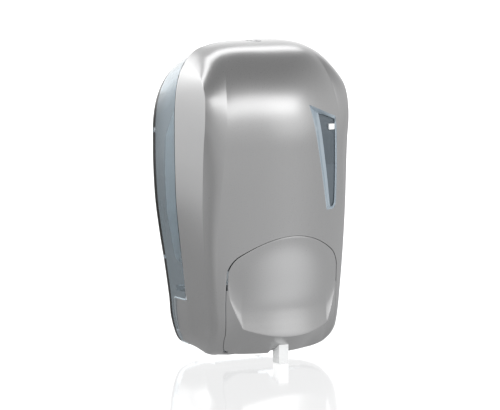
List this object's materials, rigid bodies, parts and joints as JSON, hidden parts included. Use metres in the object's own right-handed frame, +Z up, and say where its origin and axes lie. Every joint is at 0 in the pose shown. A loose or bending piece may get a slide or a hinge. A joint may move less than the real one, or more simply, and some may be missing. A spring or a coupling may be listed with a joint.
{
  "type": "wall mounted soap dispenser",
  "caption": "Domed push-lever soap dispenser for a wall, with a hinged lockable cover, a sight window, a refillable tank and a spring-return pump above a square spout.",
  "frame": {"origin": "middle of the four wall screw holes, on the wall plane", "axes": "+Z up, +Y into the wall, the front and the push lever face -Y, +X to the right of someone facing the front"},
  "size_m": [0.1256, 0.089, 0.229],
  "materials": {
    "satin_silver": "satin silver lacquer on ABS",
    "smoked_clear": "smoked clear polycarbonate",
    "milky_tank": "translucent natural polyethylene",
    "white_plastic": "white moulded acetal",
    "grey_plastic": "grey moulded ABS",
    "bright_steel": "zinc plated or stainless steel",
    "lock_chrome": "chrome plated zinc",
    "black_rubber": "moulded rubber",
    "clear_silicone": "translucent silicone"
  },
  "bodies": {
    "base": {"rear_shell": "smoked_clear", "tank": "milky_tank", "tank_clips": "grey_plastic", "tank_seal": "black_rubber", "inlet_valve": "clear_silicone", "pump_body": "white_plastic", "pump_cap": "white_plastic", "pump_spring": "bright_steel", "cradle": "grey_plastic", "cradle_screws": "bright_steel", "catch": "bright_steel", "catch_screws": "bright_steel", "hinge_pins": "bright_steel", "lid_pin": "bright_steel"},
    "cover": {"front_cover": "satin_silver", "sight_window": "smoked_clear", "window_frame": "grey_plastic", "lever_pins": "bright_steel"},
    "lever": {"push_lever": "satin_silver"},
    "plunger": {"nozzle": "white_plastic", "piston": "white_plastic", "piston_seal": "black_rubber", "spout_valve": "clear_silicone"},
    "lock": {"lock_barrel": "lock_chrome", "barrel_clip": "bright_steel", "lock_cam": "bright_steel", "cam_screw": "bright_steel"},
    "lid": {"filler_lid": "milky_tank", "lid_gasket": "black_rubber"}
  },
  "joints": [
    {"name": "cover_hinge", "type": "hinge", "parent": "base", "child": "cover", "pos_m": [0, -0.011, -0.106], "axis": [1, 0, 0], "range_deg": [0, 90]},
    {"name": "lever_press", "type": "hinge", "parent": "cover", "child": "lever", "pos_m": [0, -0.079, -0.032], "axis": [1, 0, 0], "range_deg": [0, 9], "stiffness_Nm_per_rad": 0.6, "springref_deg": -6.88},
    {"name": "pump_stroke", "type": "slide", "parent": "base", "child": "plunger", "axis": [0, 1, 0], "range_m": [0, 0.0089], "deforming": ["pump_spring"]},
    {"name": "lock_turn", "type": "hinge", "parent": "cover", "child": "lock", "pos_m": [0, -0.037, 0.104], "axis": [0, 0, -1], "range_deg": [0, 90]},
    {"name": "lid_hinge", "type": "hinge", "parent": "base", "child": "lid", "pos_m": [0, -0.021, 0.0672], "axis": [-1, 0, 0], "range_deg": [0, 95]}
  ],
  "couplings": [
    {"joint": "pump_stroke", "follows": "lever_press", "m_per_rad": 0.056}
  ]
}
